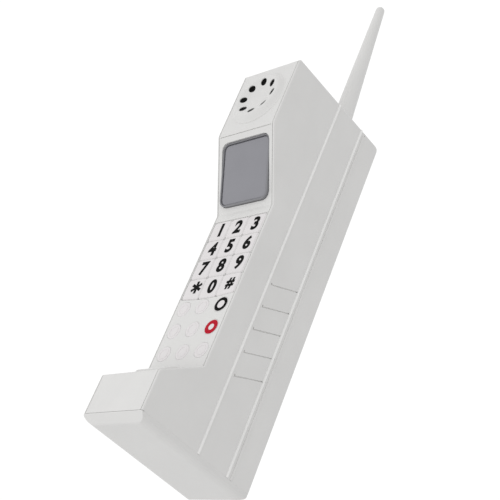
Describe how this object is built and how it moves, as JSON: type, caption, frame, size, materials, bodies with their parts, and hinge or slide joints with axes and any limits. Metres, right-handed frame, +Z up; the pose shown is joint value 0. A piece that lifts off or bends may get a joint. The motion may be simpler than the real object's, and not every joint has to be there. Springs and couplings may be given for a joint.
{
  "type": "toy cell phone",
  "caption": "Tall off-white brick style toy phone with sprung keys, a tilted grey screen, a raised ear cup, a stub antenna and a battery door behind.",
  "frame": {"origin": "centre of the bounding box's bottom face, on the surface the phone stands on", "axes": "+Z up along the tall body and antenna, -Y out of the keypad, +X to the viewer's right when facing the keypad"},
  "size_m": [0.048, 0.0884, 0.357],
  "materials": {
    "case_plastic": "off-white moulded plastic, fine satin texture",
    "key_plastic": "off-white moulded keys, slightly smoother than the case, printed black figures",
    "bezel_plastic": "dark grey satin plastic frame around the lens",
    "lens_plastic": "smoked grey lens, glossy",
    "screen_card": "grey printed card behind the lens",
    "grey_rubber": "moulded silicone rubber with domes",
    "circuit_board": "green solder mask on phenolic board",
    "black_plastic": "black plastic",
    "speaker_paper": "black pressed paper",
    "steel": "zinc-plated steel",
    "nickel": "nickel-plated spring steel",
    "cell_sleeve": "plain plastic sleeve on a steel cell",
    "led_clear": "clear epoxy",
    "red_insulation": "red wire insulation",
    "black_insulation": "black wire insulation"
  },
  "bodies": {
    "case": {"front_shell": "case_plastic", "middle_frame": "case_plastic", "back_cover": "case_plastic", "base_cap": "case_plastic", "mouthpiece_pad": "case_plastic", "antenna_mast": "case_plastic", "antenna_nut": "black_plastic", "keypad_mat": "grey_rubber", "circuit_board": "circuit_board", "sound_chip": "black_plastic", "capacitor": "black_plastic", "screen_led": "led_clear", "board_screw_1": "steel", "board_screw_2": "steel", "screen_bezel": "bezel_plastic", "screen_lens": "lens_plastic", "screen_panel": "screen_card", "speaker_frame": "black_plastic", "speaker_cone": "speaker_paper", "speaker_magnet": "steel", "speaker_clamp": "black_plastic", "battery_1": "cell_sleeve", "battery_2": "cell_sleeve", "battery_spring_1": "nickel", "battery_spring_2": "nickel", "contact_negative": "nickel", "contact_positive": "nickel", "contact_bridge": "nickel", "battery_lead_red": "red_insulation", "battery_lead_black": "black_insulation", "speaker_lead_red": "red_insulation", "speaker_lead_black": "black_insulation", "case_screw_1": "steel", "case_screw_2": "steel", "case_screw_3": "steel", "case_screw_4": "steel"},
    "key_1": {"key_1": "key_plastic"},
    "key_2": {"key_2": "key_plastic"},
    "key_3": {"key_3": "key_plastic"},
    "key_4": {"key_4": "key_plastic"},
    "key_5": {"key_5": "key_plastic"},
    "key_6": {"key_6": "key_plastic"},
    "key_7": {"key_7": "key_plastic"},
    "key_8": {"key_8": "key_plastic"},
    "key_9": {"key_9": "key_plastic"},
    "key_star": {"key_star": "key_plastic"},
    "key_0": {"key_0": "key_plastic"},
    "key_hash": {"key_hash": "key_plastic"},
    "key_recall": {"key_recall": "key_plastic"},
    "key_clear": {"key_clear": "key_plastic"},
    "key_call": {"key_call": "key_plastic"},
    "key_store": {"key_store": "key_plastic"},
    "key_function": {"key_function": "key_plastic"},
    "key_end": {"key_end": "key_plastic"},
    "key_power": {"key_power": "key_plastic"},
    "key_lock": {"key_lock": "key_plastic"},
    "key_volume": {"key_volume": "key_plastic"},
    "door": {"battery_door": "case_plastic", "battery_door_screw": "steel"}
  },
  "joints": [
    {"name": "press_1", "type": "slide", "parent": "case", "child": "key_1", "axis": [0, 1, 0], "range_m": [0, 0.001], "stiffness_N_per_m": 1200, "springref_m": -0.0002},
    {"name": "press_2", "type": "slide", "parent": "case", "child": "key_2", "axis": [0, 1, 0], "range_m": [0, 0.001], "stiffness_N_per_m": 1200, "springref_m": -0.0002},
    {"name": "press_3", "type": "slide", "parent": "case", "child": "key_3", "axis": [0, 1, 0], "range_m": [0, 0.001], "stiffness_N_per_m": 1200, "springref_m": -0.0002},
    {"name": "press_4", "type": "slide", "parent": "case", "child": "key_4", "axis": [0, 1, 0], "range_m": [0, 0.001], "stiffness_N_per_m": 1200, "springref_m": -0.0002},
    {"name": "press_5", "type": "slide", "parent": "case", "child": "key_5", "axis": [0, 1, 0], "range_m": [0, 0.001], "stiffness_N_per_m": 1200, "springref_m": -0.0002},
    {"name": "press_6", "type": "slide", "parent": "case", "child": "key_6", "axis": [0, 1, 0], "range_m": [0, 0.001], "stiffness_N_per_m": 1200, "springref_m": -0.0002},
    {"name": "press_7", "type": "slide", "parent": "case", "child": "key_7", "axis": [0, 1, 0], "range_m": [0, 0.001], "stiffness_N_per_m": 1200, "springref_m": -0.0002},
    {"name": "press_8", "type": "slide", "parent": "case", "child": "key_8", "axis": [0, 1, 0], "range_m": [0, 0.001], "stiffness_N_per_m": 1200, "springref_m": -0.0002},
    {"name": "press_9", "type": "slide", "parent": "case", "child": "key_9", "axis": [0, 1, 0], "range_m": [0, 0.001], "stiffness_N_per_m": 1200, "springref_m": -0.0002},
    {"name": "press_star", "type": "slide", "parent": "case", "child": "key_star", "axis": [0, 1, 0], "range_m": [0, 0.001], "stiffness_N_per_m": 1200, "springref_m": -0.0002},
    {"name": "press_0", "type": "slide", "parent": "case", "child": "key_0", "axis": [0, 1, 0], "range_m": [0, 0.001], "stiffness_N_per_m": 1200, "springref_m": -0.0002},
    {"name": "press_hash", "type": "slide", "parent": "case", "child": "key_hash", "axis": [0, 1, 0], "range_m": [0, 0.001], "stiffness_N_per_m": 1200, "springref_m": -0.0002},
    {"name": "press_recall", "type": "slide", "parent": "case", "child": "key_recall", "axis": [0, 1, 0], "range_m": [0, 0.001], "stiffness_N_per_m": 1200, "springref_m": -0.0002},
    {"name": "press_clear", "type": "slide", "parent": "case", "child": "key_clear", "axis": [0, 1, 0], "range_m": [0, 0.001], "stiffness_N_per_m": 1200, "springref_m": -0.0002},
    {"name": "press_call", "type": "slide", "parent": "case", "child": "key_call", "axis": [0, 1, 0], "range_m": [0, 0.001], "stiffness_N_per_m": 1200, "springref_m": -0.0002},
    {"name": "press_store", "type": "slide", "parent": "case", "child": "key_store", "axis": [0, 1, 0], "range_m": [0, 0.001], "stiffness_N_per_m": 1200, "springref_m": -0.0002},
    {"name": "press_function", "type": "slide", "parent": "case", "child": "key_function", "axis": [0, 1, 0], "range_m": [0, 0.001], "stiffness_N_per_m": 1200, "springref_m": -0.0002},
    {"name": "press_end", "type": "slide", "parent": "case", "child": "key_end", "axis": [0, 1, 0], "range_m": [0, 0.001], "stiffness_N_per_m": 1200, "springref_m": -0.0002},
    {"name": "press_power", "type": "slide", "parent": "case", "child": "key_power", "axis": [0, 1, 0], "range_m": [0, 0.001], "stiffness_N_per_m": 1200, "springref_m": -0.0002},
    {"name": "press_lock", "type": "slide", "parent": "case", "child": "key_lock", "axis": [0, 1, 0], "range_m": [0, 0.001], "stiffness_N_per_m": 1200, "springref_m": -0.0002},
    {"name": "press_volume", "type": "slide", "parent": "case", "child": "key_volume", "axis": [0, 1, 0], "range_m": [0, 0.001], "stiffness_N_per_m": 1200, "springref_m": -0.0002},
    {"name": "door_hinge", "type": "hinge", "parent": "case", "child": "door", "pos_m": [0, 0.04228, 0.0206], "axis": [-1, 0, 0], "range_deg": [0, 90]}
  ]
}
